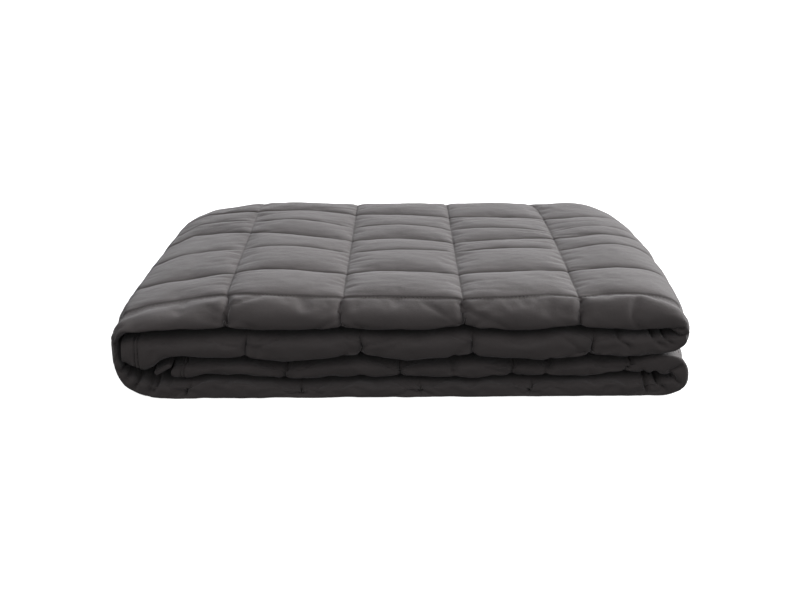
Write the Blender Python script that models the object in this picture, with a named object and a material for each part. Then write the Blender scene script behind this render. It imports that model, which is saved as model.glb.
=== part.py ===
"""A quilted weighted blanket, folded into a low stack and lying flat.

The blanket is folded twice each way. Across the stack (along X) it makes four bands: the top band turns
down over the left end into the bottom band, and each of those turns back at the right into an inner band
whose edge lies inside the left turn. Front to back (along Y) every band is four layers: one fold in front
and two behind. So the whole blanket is one strip, the section of those four layers, led along a path
through the four bands. Lengths in the tables are millimetres, and the mesh is made in metres.
"""

import math

import bmesh
import bpy
import numpy as np
from mathutils import Vector
from mathutils.geometry import delaunay_2d_cdt

MM = 0.001

# Driving sizes
DEPTH = 352.0  # front to back
POCKET = 101.8  # from one line of stitching to the next, across the stack
SEAM_AT_X = 54.0  # a line of stitching on the top band, from which the others are counted
ROW_SEAMS = (25.0, 98.0, 200.0, 301.0)  # the cross stitching on top, measured from the front
# How far the turns have drawn the stitching along the strip: length along it, then the shift
SEAM_CREEP = ((0.0, 5.5), (450.0, 4.0), (613.0, 0.0), (940.0, 0.0), (1122.0, 8.0), (1930.0, 5.0))
SEAM_HALF_WIDTH = 11.0
SEAM_DEPTH = 0.11  # of the band's thickness
SEAM_DRAWN_IN = 5.0  # how far a seam pulls in the front and back folds
FLAT_HEM = 25.0  # the cross stitching fades out over this length before each edge
CROWN = 1.2  # how high a pocket of the top band swells
TOP_BAND_ABOVE_Z = 64.0  # only the top band is free to swell
BARREL = 8.0  # how much wider each end is halfway back
LAYER_GAP = 0.035  # between two layers, of the band's thickness

# How finely the strip is divided
LONGEST_STEP = 46.0
SHARPEST_TURN = math.radians(27)
SAMPLES_PER_ROW = 24
CAP_HEIGHT = 25.0  # of the section when it is laid flat to be filled

# The path of the strip through the bands, seen from the front: points on its outer and its inner face.
STRIP = (
    # outer_x, outer_z, inner_x, inner_z
    # second band from the top, from its edge at the left
    (-237.0, 42.5, -237.0, 54.0),
    (-230.0, 32.3, -231.0, 57.2),
    (-221.0, 27.0, -222.0, 58.2),
    (-211.5, 30.5, -211.0, 58.7),
    (-204.0, 36.4, -203.0, 59.2),
    (-190.0, 38.1, -190.0, 60.2),
    (-165.0, 38.1, -165.0, 60.9),
    (-60.0, 38.1, -60.0, 61.0),
    (60.0, 38.1, 60.0, 61.0),
    (165.0, 38.1, 165.0, 61.0),
    (200.0, 39.3, 199.0, 61.2),
    (222.0, 42.6, 214.0, 61.5),
    # upper turn at the right
    (238.0, 46.6, 223.5, 61.7),
    (246.5, 53.5, 229.0, 62.0),
    (250.0, 62.5, 231.0, 62.8),
    (249.0, 71.5, 229.0, 63.7),
    (243.5, 79.5, 223.5, 64.0),
    (233.0, 83.4, 214.0, 63.8),
    # top band, running left
    (217.0, 85.0, 203.0, 63.0),
    (165.0, 85.0, 165.0, 62.4),
    (60.0, 85.0, 60.0, 62.3),
    (-60.0, 85.0, -60.0, 62.3),
    (-152.0, 85.0, -152.0, 63.0),
    (-196.0, 80.0, -196.0, 65.2),
    # turn at the left, round the edges of the two inner bands
    (-226.0, 75.0, -222.0, 66.0),
    (-240.5, 70.0, -234.5, 64.6),
    (-248.0, 62.0, -240.8, 59.0),
    (-250.0, 51.5, -242.0, 50.0),
    (-249.3, 39.0, -241.4, 40.0),
    (-246.5, 27.0, -236.0, 30.0),
    (-241.5, 16.0, -229.0, 24.5),
    (-233.0, 7.5, -220.5, 21.2),
    (-221.0, 1.7, -209.5, 19.7),
    # bottom band, running right
    (-203.0, 0.0, -198.0, 19.1),
    (-160.0, 0.0, -160.0, 18.9),
    (-50.0, 0.0, -50.0, 18.9),
    (60.0, 0.0, 60.0, 18.9),
    (150.0, 0.0, 150.0, 19.4),
    (196.0, 0.0, 194.0, 22.2),
    (219.0, 1.3, 214.0, 23.3),
    # lower turn at the right
    (235.0, 5.4, 224.0, 23.0),
    (245.5, 12.0, 229.5, 22.7),
    (250.0, 21.5, 231.5, 23.2),
    (248.5, 31.0, 229.5, 24.1),
    (243.0, 38.4, 225.0, 24.5),
    (234.0, 42.0, 218.0, 24.7),
    # third band, running left to its edge
    (219.0, 40.9, 209.0, 24.6),
    (200.0, 38.0, 197.0, 23.7),
    (165.0, 36.6, 165.0, 21.0),
    (100.0, 36.6, 100.0, 20.2),
    (-50.0, 36.6, -50.0, 20.2),
    (-150.0, 36.6, -150.0, 20.2),
    (-186.0, 36.5, -186.0, 20.5),
    (-198.5, 34.5, -198.5, 21.8),
)

# Where the bands press waves into each other: how far each boundary lies above its even height.
WAVES = (
    # x, under the top band, under the second band, over the bottom band
    (-260.0, 0.0, 0.0, 0.0),
    (-187.0, 0.0, 0.8, 0.4),
    (-159.0, 0.0, 0.3, 1.3),
    (-95.0, -0.3, -1.4, -1.3),
    (-36.0, 0.5, 1.3, -0.3),
    (8.0, -0.4, -1.1, 0.3),
    (60.0, 1.0, 0.7, 0.0),
    (115.0, -0.5, -0.6, 0.4),
    (150.0, 0.9, 0.2, 0.2),
    (200.0, 0.0, 0.3, 0.0),
    (260.0, 0.0, 0.0, 0.0),
)
BOUNDARY_HEIGHTS = (61.7, 37.4, 19.6)
WAVE_REACH = 8.0

CHARCOAL = (0.045, 0.045, 0.047, 1.0)


def layer_faces(number):
    """The lower and upper face of layer 0 (innermost) to 3 (outermost), as shares of the band's thickness."""
    thickness = (1.0 - 3.0 * LAYER_GAP) / 4.0
    low = number * (thickness + LAYER_GAP)
    return low, low + thickness


def section():
    """The outline of the four layers: distance from the front, and share of the thickness from inside out."""
    inmost, lower, upper, outmost = (layer_faces(number) for number in range(4))
    top = []
    for seam, following in zip(ROW_SEAMS, ROW_SEAMS[1:] + (None,)):
        top += [(seam, 1.0), (seam + SEAM_HALF_WIDTH, 1.0)]
        if following:
            top += [((seam + following) / 2, 1.0), (following - SEAM_HALF_WIDTH, 1.0)]
    front = [(25.0, 0.0), (11.0, 0.02), (3.0, 0.2), (0.0, 0.5), (3.0, 0.8), (11.0, 0.98)]
    within = (22.0, 130.0, 240.0, 335.0)
    back = DEPTH - 3.0
    rim = DEPTH - 14.0
    outline = front + top
    outline += [(rim, 0.985), (back, 0.9), (DEPTH, 0.76), (back, 0.62), (rim, upper[0])]
    outline += [(y, upper[0]) for y in within[2::-1]]
    outline += [(y, upper[1]) for y in within]
    outline += [(within[3] + 6.0, (upper[1] + outmost[0]) / 2)]
    outline += [(y, outmost[0]) for y in within[::-1]]
    outline += [(14.0, 0.66), (14.0, 0.34)]
    outline += [(y, inmost[1]) for y in within]
    outline += [(within[3] + 6.0, (inmost[1] + lower[0]) / 2)]
    outline += [(y, lower[0]) for y in within[::-1]]
    outline += [(y, lower[1]) for y in within[:3]]
    outline += [(rim, lower[1]), (back, 0.38), (DEPTH, 0.24), (back, 0.1), (rim, 0.0)]
    outline += [(y, 0.0) for y in within[2:0:-1]]
    return outline


def smooth_through(points):
    """A curve through points, SAMPLES_PER_ROW to each gap, with its speed matched to their spacing."""
    gaps = np.linalg.norm(np.diff(points, axis=0), axis=1)
    slopes = np.diff(points, axis=0) / gaps[:, None]
    tangents = np.empty_like(points)
    tangents[0] = slopes[0]
    tangents[-1] = slopes[-1]
    before = gaps[:-1, None]
    after = gaps[1:, None]
    tangents[1:-1] = (slopes[1:] * before + slopes[:-1] * after) / (before + after)
    t = np.linspace(0, 1, SAMPLES_PER_ROW, endpoint=False)[:, None]
    curve = []
    for k, gap in enumerate(gaps):
        curve.append(
            (2 * t**3 - 3 * t**2 + 1) * points[k]
            + (t**3 - 2 * t**2 + t) * gap * tangents[k]
            + (3 * t**2 - 2 * t**3) * points[k + 1]
            + (t**3 - t**2) * gap * tangents[k + 1]
        )
    return np.concatenate(curve + [points[-1:]])


def stations(outer):
    """Lengths along the outer face where the strip has a section, and the places of its seams."""
    along = np.concatenate([[0.0], np.cumsum(np.linalg.norm(np.diff(outer, axis=0), axis=1))])
    heading = np.unwrap(np.arctan2(*np.diff(outer, axis=0).T[::-1]))
    turned = np.concatenate([[0.0, 0.0], np.cumsum(np.abs(np.diff(heading)))])
    on_top = outer[:, 1] > TOP_BAND_ABOVE_Z
    anchor = along[on_top][np.argmin(np.abs(outer[on_top, 0] - SEAM_AT_X))]
    first = anchor - POCKET * math.floor((anchor - 2 * SEAM_HALF_WIDTH) / POCKET)
    seams = np.arange(first, along[-1] - 2 * SEAM_HALF_WIDTH, POCKET)
    seams = seams + np.interp(seams, *np.array(SEAM_CREEP).T)
    fixed = sorted(
        [0.0, along[-1]]
        + [seam + side * SEAM_HALF_WIDTH for seam in seams for side in (-1, 0, 1)]
    )
    places = [fixed[0]]
    for start, end in zip(fixed, fixed[1:]):
        turn = np.interp(end, along, turned) - np.interp(start, along, turned)
        steps = max(1, math.ceil((end - start) / LONGEST_STEP), math.ceil(turn / SHARPEST_TURN))
        places += list(np.linspace(start, end, steps + 1)[1:])
    return along, np.array(places), seams


def seam_pull(distance):
    """1 on a line of stitching, falling to 0 at SEAM_HALF_WIDTH."""
    return np.clip(1.0 - np.abs(distance) / SEAM_HALF_WIDTH, 0.0, 1.0) ** 1.5


def nearest(values, marks):
    """How far each value lies from the nearest mark."""
    return np.abs(np.asarray(values)[:, None] - np.asarray(marks)[None, :]).min(axis=1)


def pocket_swell(values, marks):
    """0 on each mark and 1 halfway between two of them."""
    marks = np.asarray(marks)
    index = np.clip(np.searchsorted(marks, values) - 1, 0, len(marks) - 2)
    share = (values - marks[index]) / (marks[index + 1] - marks[index])
    return np.clip(4.0 * share * (1.0 - share), 0.0, 1.0)


def press_waves(x, z):
    """Heights with the waves that the bands press into each other."""
    waves = np.array(WAVES)
    risen = z.copy()
    for column, height in enumerate(BOUNDARY_HEIGHTS, start=1):
        wave = np.interp(x, waves[:, 0], waves[:, column])
        risen += wave * np.exp(-(((z - height) / WAVE_REACH) ** 2))
    return risen


def strip_points():
    """The strip's points, one row for each station, and the outline of its section."""
    path = np.array(STRIP)
    outer = smooth_through(path[:, 0:2])
    inner = smooth_through(path[:, 2:4])
    along, places, seams = stations(outer)
    outer_at = np.stack([np.interp(places, along, outer[:, axis]) for axis in (0, 1)], axis=1)
    inner_at = np.stack([np.interp(places, along, inner[:, axis]) for axis in (0, 1)], axis=1)
    thickness = np.linalg.norm(outer_at - inner_at, axis=1)
    outline = np.array(section())
    from_front, share = outline.T

    across = seam_pull(nearest(places, seams))[:, None]
    behind = seam_pull(nearest(from_front, ROW_SEAMS))[None, :]
    on_skin = (share >= 0.97) | (share <= 0.03)
    on_top_skin = share >= 0.97
    dip = 1.0 - (1.0 - across) * (1.0 - behind * on_top_skin[None, :])
    from_edge = np.minimum(places - places[0], places[-1] - places)
    dip *= np.clip(from_edge / FLAT_HEM, 0.0, 1.0)[:, None]
    inward = SEAM_DEPTH * thickness[:, None] * dip * on_skin[None, :]
    side = np.where(share > 0.5, 1.0, -1.0)[None, :]

    rows = tuple(ROW_SEAMS) + (DEPTH + 20.0,)
    swell = pocket_swell(places, seams)[:, None] * pocket_swell(from_front, rows)[None, :]
    swell = swell * on_top_skin[None, :] * (from_front >= ROW_SEAMS[0])[None, :]

    level = share[None, :] * thickness[:, None] - side * inward
    direction = (outer_at - inner_at) / thickness[:, None]
    x = inner_at[:, None, 0] + direction[:, None, 0] * level
    z = inner_at[:, None, 1] + direction[:, None, 1] * level
    z = press_waves(x, z) + CROWN * swell * (outer_at[:, None, 1] > TOP_BAND_ABOVE_Z)

    front_share = np.clip(1.0 - from_front / ROW_SEAMS[0], 0.0, 1.0)[None, :]
    back_share = np.clip((from_front - (DEPTH - 20.0)) / 20.0, 0.0, 1.0)[None, :]
    y = from_front[None, :] + SEAM_DRAWN_IN * across * (front_share**0.5 - 0.6 * back_share)
    halfway = 1.0 - ((y - DEPTH / 2) / (DEPTH / 2)) ** 2
    widest = np.abs(path[:, 0]).max()
    x = x * (1.0 + BARREL / widest * halfway)
    return np.stack([x, y, np.maximum(z, 0.0)], axis=2), outline


def centred(points):
    """The points with the middle of their plan at the origin and their lowest at height 0."""
    low = points.min(axis=(0, 1))
    high = points.max(axis=(0, 1))
    return points - np.array([(low[0] + high[0]) / 2, (low[1] + high[1]) / 2, low[2]])


def cap_triangles(outline):
    """Corners of the triangles that fill the section, each joining points that lie close together."""
    flat = [Vector((y, share * CAP_HEIGHT)) for y, share in outline]
    filled = delaunay_2d_cdt(flat, [], [list(range(len(flat)))], 1, 1e-6)
    return filled[2]


def blanket_mesh():
    """The strip's skin, with an end cap on each of its two edges."""
    points, outline = strip_points()
    points = centred(points) * MM
    around = points.shape[1]
    mesh = bmesh.new()
    rings = [[mesh.verts.new(place) for place in row] for row in points]
    for here, following in zip(rings, rings[1:]):
        for k in range(around):
            after = (k + 1) % around
            mesh.faces.new((here[k], here[after], following[after], following[k]))
    for triangle in cap_triangles(outline):
        for ring in (rings[0], rings[-1]):
            mesh.faces.new([ring[k] for k in triangle])
    bmesh.ops.recalc_face_normals(mesh, faces=mesh.faces)
    bmesh.ops.triangulate(mesh, faces=mesh.faces)
    data = bpy.data.meshes.new("blanket")
    mesh.to_mesh(data)
    mesh.free()
    return data


def cotton():
    material = bpy.data.materials.new("cotton")
    material.use_nodes = True
    shader = material.node_tree.nodes["Principled BSDF"]
    shader.inputs["Base Color"].default_value = CHARCOAL
    shader.inputs["Roughness"].default_value = 0.9
    shader.inputs["Metallic"].default_value = 0.0
    return material


def clear_scene():
    for item in list(bpy.data.objects):
        bpy.data.objects.remove(item)


def main():
    clear_scene()
    data = blanket_mesh()
    data.materials.append(cotton())
    data.shade_smooth()
    data.set_sharp_from_angle(angle=math.radians(35))
    blanket = bpy.data.objects.new("blanket", data)
    bpy.context.scene.collection.objects.link(blanket)


main()
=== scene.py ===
"""A quilted weighted blanket, folded into a low stack: its cloth, its thread and the studio.

The blanket is one strip, the section of its four layers, led along a path through the four bands
of the stack. The skin of the strip is modelled here with its pockets, sewn lines, creases and
puckers. Lengths are millimetres up to the meshes, and heights are above the floor. "Along" is
measured along the strip, and "from_front" back from the front folds.
"""

import math

import bpy
import numpy as np
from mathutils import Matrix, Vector, noise
from mathutils.geometry import delaunay_2d_cdt


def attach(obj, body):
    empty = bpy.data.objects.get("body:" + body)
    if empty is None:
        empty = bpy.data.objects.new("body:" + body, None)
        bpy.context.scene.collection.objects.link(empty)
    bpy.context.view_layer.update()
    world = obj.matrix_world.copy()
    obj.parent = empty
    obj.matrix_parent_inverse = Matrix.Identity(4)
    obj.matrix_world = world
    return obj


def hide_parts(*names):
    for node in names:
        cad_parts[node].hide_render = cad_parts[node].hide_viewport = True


MM = 0.001
DEPTH = 352
BACK_RIM = DEPTH - 14  # where the folds at the back begin
LAYER_GAP = 0.035  # between two layers, of the band's thickness

# The path of the strip through the bands: points on its outer and inner face, seen from the front
STRIP = (
    # outer_x, outer_z, inner_x, inner_z
    # second band from the top, from its edge at the left
    (-240.3, 35.5, -240.3, 57.5),
    (-234, 31.8, -234, 58.8),
    (-224, 27.2, -224, 59.2),
    (-214, 30, -213, 59.6),
    (-206, 35.5, -205, 60),
    (-190, 37.8, -190, 60.5),
    (-165, 37.8, -165, 61.1),
    (-60, 37.8, -60, 61.2),
    (60, 37.8, 60, 61.2),
    (165, 37.8, 165, 61.2),
    (200, 39, 199, 61.4),
    (222, 43.2, 214, 61.7),
    # upper turn at the right
    (240.5, 47.2, 227, 61.9),
    (249, 54.5, 233.5, 62.2),
    (251, 63.5, 236, 62.9),
    (248.5, 71, 233.5, 63.6),
    (241, 78.6, 227, 63.8),
    (230, 83, 214, 63.5),
    # top band, running left
    (217, 85, 203, 62.6),
    (165, 85, 165, 62),
    (60, 85, 60, 61.9),
    (-60, 85, -60, 61.9),
    (-146, 85.2, -146, 62.6),
    (-190, 79.2, -190, 63.6),
    # turn at the left, round the edges of the two inner bands
    (-228, 73.6, -222, 63.8),
    (-243, 69, -235.5, 62.8),
    (-249.2, 60.5, -242, 58),
    (-249, 51.5, -242.2, 50),
    (-247.9, 39, -241.4, 40),
    (-244.6, 26.5, -238, 31),
    (-237.4, 15.5, -229.5, 25),
    (-228.8, 7.2, -219.5, 21.2),
    (-219, 1.4, -209.5, 19.8),
    # bottom band, running right
    (-203, -1, -198, 19.3),
    (-160, -1, -160, 19.2),
    (-50, -1, -50, 19.2),
    (60, -1, 60, 19.2),
    (150, -1, 150, 19.6),
    (196, -1.5, 194, 22.4),
    (219, -1.5, 214, 23.5),
    # lower turn at the right
    (236.5, 0.6, 228, 23.2),
    (247.5, 9.2, 234.5, 22.9),
    (252.3, 22, 236.5, 23.3),
    (250.8, 33, 234.5, 24),
    (245, 40.2, 229, 24.3),
    (234, 43.4, 221, 24.5),
    # third band, running left to its edge
    (219, 41.6, 209, 24.2),
    (200, 38.2, 197, 23.3),
    (165, 37, 165, 20.8),
    (100, 37, 100, 19.9),
    (-50, 37, -50, 19.9),
    (-150, 37, -150, 19.9),
    (-186, 36.8, -186, 20.3),
    (-198.5, 34.5, -198.5, 21.8),
)

# The sewn columns, in order along the strip: the x and z where each crosses its outer face
COLUMNS = (
    (-136, 37.8), (-36.5, 37.8), (65, 37.8), (166, 37.8), (252, 62), (155, 85), (54, 85),
    (-48, 85), (-152, 85), (-249, 58), (-187, -1), (-85.6, -1), (16.8, -1), (117, -1),
    (218, -1.5), (201.5, 38.2), (100.7, 37), (0.4, 37), (-101, 37),
)
SEAM_REACH = (60, 260)  # how far along from one column the next may lie
FADED_SEAM = 8  # the column on top whose groove fades towards the back
HALF_POCKET = 50.9
# Puckers beside a column: spacing, longest, depth, width
SHORT_PUCKERS = (6, 26, 0.55, 1.2)
LONG_PUCKERS = (17, 70, 0.75, 2)
# Lines of hem stitching at the strip's two edges: how far in from its start and from its end
HEMS = ((13, 16.2), (8.5, 11.5))
HEM_DEPTH = 1.5
HEM_HALF_WIDTH = 2.2

# Stretches along the strip: where its outer side shows, and where the rows' thread is sewn
OUTER_SIDE_SHOWS = (452, 1118)
LOWER_TURN_SHOWS = (1535, 1665)
TOP_SHOWS = (520, 1012)
SEWN_STRETCHES = ((470, 1110), (1552, 1650))
LOWER_TURN_FROM = 1500  # past this the pockets lie flatter
# Shares along the strip: of the top band's shape, and of the pockets on the outer side
ON_TOP_BAND = ((500, 0), (540, 1), (985, 1), (1060, 0))
POCKETS_SHOW = (
    (455, 0), (480, 1), (1095, 1), (1115, 0), (1535, 0), (1550, 1), (1650, 1), (1665, 0),
)
# How far the strip's outer side lies on the floor
ON_FLOOR = ((1070, 0), (1115, 1), (1585, 1), (1610, 0))

# Where the bands press waves into each other: how far each boundary lies above its even height
WAVES = (
    # x, under the top band, under the second band, over the bottom band
    (-260, 0, 0, 0), (-187, 0, 1.8, 0.4), (-159, 0, 0.9, 2.6), (-136, 0, 0, 1.2),
    (-101, 0, -2.8, -1.8), (-87, -0.1, -1.2, -2.6), (-36, 0.6, 2.8, -0.3), (7, -0.3, -2, 0),
    (55, 2.3, 0.9, -0.3), (66, 1.5, 1.2, -0.5), (100, -0.5, -0.6, 0.3), (120, 0.2, -1, 0.5),
    (142, 2.3, 0.1, 0.3), (166, 0.4, 1, 0.1), (200, -0.4, 0.3, 0), (260, 0, 0, 0),
)
BOUNDARY_HEIGHTS = (61.5, 37.4, 19.6)
WAVE_REACH = 8
# How far the whole stack settles at each height
SETTLED = ((0, 0), (19.6, -6.4), (37.4, -5.4), (61.5, -4.6), (74, -1.6), (86, 0))

# How far the stack swells out at its two ends, and how its back corners round off
PLAN = (
    # from_front, swell at the left, swell at the right
    (0, 0.5, 0.5), (60, 5.5, 6.5), (120, 7, 12.5), (180, 6.8, 15.5),
    (240, 5, 15.5), (290, 2, 12.5), (315, -0.5, 7.5), (335, -7, -4),
    (352, -17, -26),
)
# How the top lifts towards its back edge: from_front, and by how much more or less across it
BACK_LIFT = ((220, 0), (320, 2.2), (352, 2.2))
LIFT_ACROSS = (
    (-260, 2), (-215, 2.7), (-170, 2.2), (-130, 1), (130, 1), (175, 0.4), (260, -0.2),
)

# The front folds: how far each reaches back on its outer and its inner side, and stands in
NOSES = (
    # along, reach on the outer side, reach on the inner side, stands_in
    (0, 13, 13, 0.6), (430, 13, 13, 0), (480, 9, 13, 0), (520, 12, 13, 0),
    (560, 26, 13, 2.4), (940, 26, 16, 2.4), (965, 23, 18, 1.6), (985, 19, 20, 0.8),
    (1020, 7, 8, 0), (1060, 4.5, 6, 0), (1120, 4.5, 8, 0), (1160, 4.5, 13, 0),
    (1610, 4.5, 13, 0.5), (1660, 12, 13, 5), (2040, 12, 13, 5.5),
)

# How deep a flat ledge lies between the front fold's curve and the first sewn row
LEDGES = (
    (545, 0), (570, 6), (600, 6), (650, 0), (850, 0), (885, 4), (915, 6), (935, 5), (960, 4),
    (985, 4), (1010, 0),
)
FULL_LEDGE = 6
SAMPLES_ON_LEDGE = 0.25  # the share of a fold's samples that a full ledge takes

# How square the front folds are on their outer side: 2 is round, and more is squarer
FOLD_POWER = ((500, 3.2), (560, 1.6), (860, 1.6), (920, 1.45), (1000, 1.45), (1050, 3.2))
SQUARE_FOLD = 3.2
SHORT_TURN = 0.12  # how far the top band's fold stops short of a quarter turn
# Where a front fold stands out furthest: its share of the band's thickness from the inner face
FOREMOST = ((0, 0.62), (430, 0.62), (500, 0.5), (560, 0.3), (1000, 0.3), (1060, 0.5))
# How far the front folds stand clear of their neighbours, on the strip's outer and inner side
LIPS = (
    # along, outer side, inner side
    (0, 3.2, 0.6), (430, 3.2, 0.6), (490, 0, 0.8), (560, 0, 3.4),
    (960, 0, 3.4), (1010, 0, 1), (1120, 0, 0.5), (1220, 0, 1.8),
    (1560, 0, 1.8), (1600, 0, 0.8), (1660, 2.6, 1.8), (2060, 2.6, 1.8),
)
# How deep the sewn columns pinch the front folds, and how wide their grooves are there
PINCH = (
    (0, 7.5), (450, 7.5), (560, 8), (880, 6.5), (1100, 7.5), (1580, 7.5), (1700, 6.5),
    (2100, 6.5),
)
SLOT = ((450, 6.2), (500, 8.5), (1060, 8.5), (1110, 4.6), (1570, 4.6), (1650, 5.4))
TOP_SEAM_DEPTH = 1.9
BACK_SEAM_DEPTH = 2.6
DEEPEST_DIP = 8  # where a column and a row cross, they pull in no deeper than this
ENDS = 252  # how far the stack's ends are from its middle: seams are shallow there

# The lines that cross the top band: where each lies, and the depth and width of its groove
ROWS = (
    # from_front, depth, half_width, crown behind it
    (30.5, 2, 7, 3),
    (97, 2.2, 7.5, 2.6),
    (164, 1.3, 7, 1.8),
    (207, 1.9, 7, 1.6),
    (246, 0.9, 6, 1.8),
    (292, 2, 7.5, 1.6),
)
SEWN_ROWS = (0, 1, 3, 5)  # the other two are only creases
# How far each of those lines wanders back from its place
ROW_WANDER = (
    # x, first, second, third, fourth, fifth, last
    (-250, 10.5, 1, 10, 36, 30, 22),
    (-215, 11, 1.5, 11.5, 42, 34, 24),
    (-190, 12, 3, 12, 40, 34, 24),
    (-152, 10, 1, 8, 25, 23, 14),
    (-127, 3, 4, 5, 16, 18, 14),
    (-100, 0, 3, 2, 6, 14, 15),
    (-75, 0, -0.5, -3, 0, 7, 11),
    (-48, 1, -4.5, -7, -7, 0.5, 5),
    (-24, 0, 1.5, -6, -3, 1, 3.5),
    (0, -1.5, 0, -6, -2.5, 1, 1.5),
    (27, -3, -3, -6, -8, -3, -2.5),
    (54, -4.5, -7, -7, -15, -8.5, -7),
    (80, -5, -3.5, -4.5, -12.5, -10, -8.5),
    (105, -2.5, -1.5, -1, -9.5, -13, -10),
    (130, 2, 0.5, 2.5, -5, -15.5, -11),
    (155, -1.5, 2, 1.5, -2, -17, -13),
    (178, 2.5, 3.5, 3, -1, -12, -14),
    (200, 0, 5, 5, 2, -8, -12),
    (250, 0, 5, 6, 4, -6, -10),
)
# How high the pockets swell as a whole: from the front, and by how much across the top
BROAD_CROWN = ((0, 0), (40, 2.7), (352, 1.9))
CROWN_ACROSS = ((-200, 0), (-150, 1), (150, 1), (200, 1.2))
# How far the sewn columns have drifted sideways by the time they reach the back
COLUMN_DRIFT = ((-250, 0), (-152, -6), (-48, 5), (54, 4.5), (155, 5.5), (250, 0))

# Creases in the front folds, as seen from the front
FRONT_CREASES = (
    # points (x, z), half_width, depth
    (((186.3, 60.7), (192.4, 52.3), (201.5, 45.4)), 4.5, 4.2),
    (((218, 58.8), (223.5, 50.9), (229.6, 47)), 5, 5.4),
    (((226.6, 60.7), (234.5, 50.5)), 3.2, 5.4),
    (((212.5, 24), (217, 15), (219.3, 3.6)), 4, 5.6),
    (((222.3, 22.6), (227.2, 14.6), (233.9, 5)), 5, 8),
    (((207.5, 86), (202.5, 79.6), (201.5, 71.8), (206.4, 63.9)), 6, 3),
    (((234, 23.2), (240, 25.5), (247, 29.6)), 3.5, 5),
    (((235, 22.4), (239.5, 18), (245.5, 11.5)), 3.8, 5.6),
    (((228, 61.5), (236, 62), (250, 65.3)), 3, 5),
    (((46.9, 38), (46, 29), (47.5, 19.5)), 6, 4.8),
    (((129.4, 38), (131, 29), (128.5, 19.5)), 7, 5.8),
    (((-53, 37), (-55, 30)), 4.5, 2.6),
    (((-245.7, 26.9), (-238, 28.2), (-231.8, 28.6), (-225.8, 24.5)), 3.2, 5.6),
    (((-225.3, 25.3), (-228, 18), (-232.8, 9)), 4.2, 8),
    (((-233.5, 26.2), (-238, 18)), 3.6, 5.4),
    (((-215, 22.5), (-217.5, 13), (-220.5, 3.6)), 5, 7.4),
    (((-208.4, 22.7), (-212.5, 14), (-216.5, 5)), 4.2, 5.6),
    (((-202.8, 21.7), (-201.9, 13)), 4.2, 7),
    (((-152, 86), (-151, 76), (-143.5, 64.5)), 4.5, 2.2),
)

# How finely the strip is divided: distances from a seam, from its two hems, and steps between
NEAR_SEAM = (0, 0.8, 2, 3.6, 5.6, 8, 11, 15, 20, 26, 33, 41)
NEAR_FIRST_HEM = (12, 13, 14, 15.2, 16.2, 17.4, 19)
NEAR_LAST_HEM = (7.6, 8.5, 9.4, 10.6, 11.5, 12.5, 14)
CREASED = ((0, 30), (405, 470), (1010, 1150), (1500, 1590))
CREASED_STEP = 2
PLAIN_STEP = 3.6
SHARPEST_TURN = math.radians(8)
# How finely its section is divided, where it shows and where it is covered
RING_SPACING = {"top": 2.5, "side": 8, "ends": 20, "covered": 70}
FINE_BELOW = 5  # a ring of closer samples than this also gets some close by the rows
COARSE_WITHIN = 190  # covered rings are coarsest this far from the stack's middle

# The settling of the cloth: the size of a millimetre in it, its steps, how far the cloth may move
SETTLE_SCALE = 0.01
SETTLE_FRAMES = 16
SETTLE_LIMIT = 2.6
PINNED_WITHIN = 240  # columns are pinned down this far from the stack's middle
FLOOR_HOLDS = 2.5  # cloth this low stays where it is
# Spare cloth in the front folds, in those round the top band and on top
LOOSE_IN_FRONT = 0.020
LOOSE_BY_TOP = 0.013
LOOSE_ON_TOP = 0.003
SETTLING = {
    "quality": 4, "mass": 0.2, "air_damping": 2,
    "tension_stiffness": 15, "compression_stiffness": 10,
    "shear_stiffness": 5, "bending_stiffness": 0.4,
    "use_pressure": True, "uniform_pressure_force": 0.05,
}

# How high the soft unevenness is on the top band's folds, on the others and on the outer side
TOP_LUMPS = 0.9
SIDE_LUMPS = 1.6
FLAT_LUMPS = 0.55

# A stitch's length, the pitch of the stitches and the thread's thickness
STITCH = 2.5
STITCH_PITCH = 3.5
THREAD = 0.55

WEAVE = 9000  # how fast the weave repeats, in radians to the metre
PALE = (0.86, 0.86, 0.86, 1)
CHARCOAL = (0.0872, 0.0765, 0.0750)

CAMERA_AT = (-0.0106, -0.955, 0.378)
CAMERA_DOWN = 20.17
CAMERA_TURNED = -0.77
LENS = 44.1

LAMP = 5
LAMP_SPREAD = 50
LAMP_HEIGHT = 20
LAMP_TO_RIGHT = 50
# The room's light, from its lowest to its highest part
ROOM = {"From Min": -0.02, "From Max": 0.50, "To Min": 0.11, "To Max": 0.52}

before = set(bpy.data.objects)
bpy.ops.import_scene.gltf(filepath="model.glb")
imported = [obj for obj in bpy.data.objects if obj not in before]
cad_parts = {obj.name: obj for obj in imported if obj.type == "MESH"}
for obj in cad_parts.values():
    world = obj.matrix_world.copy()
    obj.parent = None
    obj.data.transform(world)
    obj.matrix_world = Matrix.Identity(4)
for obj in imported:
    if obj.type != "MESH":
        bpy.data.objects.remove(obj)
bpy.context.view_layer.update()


def read(table, values, column=1):
    """A column of a table, read between its rows at values of its first column."""
    table = np.array(table)
    return np.interp(values, table[:, 0], table[:, column])


def add_object(name, data):
    """A new object in the scene."""
    thing = bpy.data.objects.new(name, data)
    bpy.context.scene.collection.objects.link(thing)
    return thing


def spread(places, known, values):
    """Each column of the values, read at places between the known ones."""
    return np.stack([np.interp(places, known, column) for column in values.T], axis=-1)


def held(values):
    """Values held between 0 and 1."""
    return np.clip(values, 0, 1)


def within(values, *stretches):
    """Whether values lie within one of the stretches."""
    return np.any([(low < values) & (values < high) for low, high in stretches], axis=0)


# ---- the path of the strip


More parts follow.
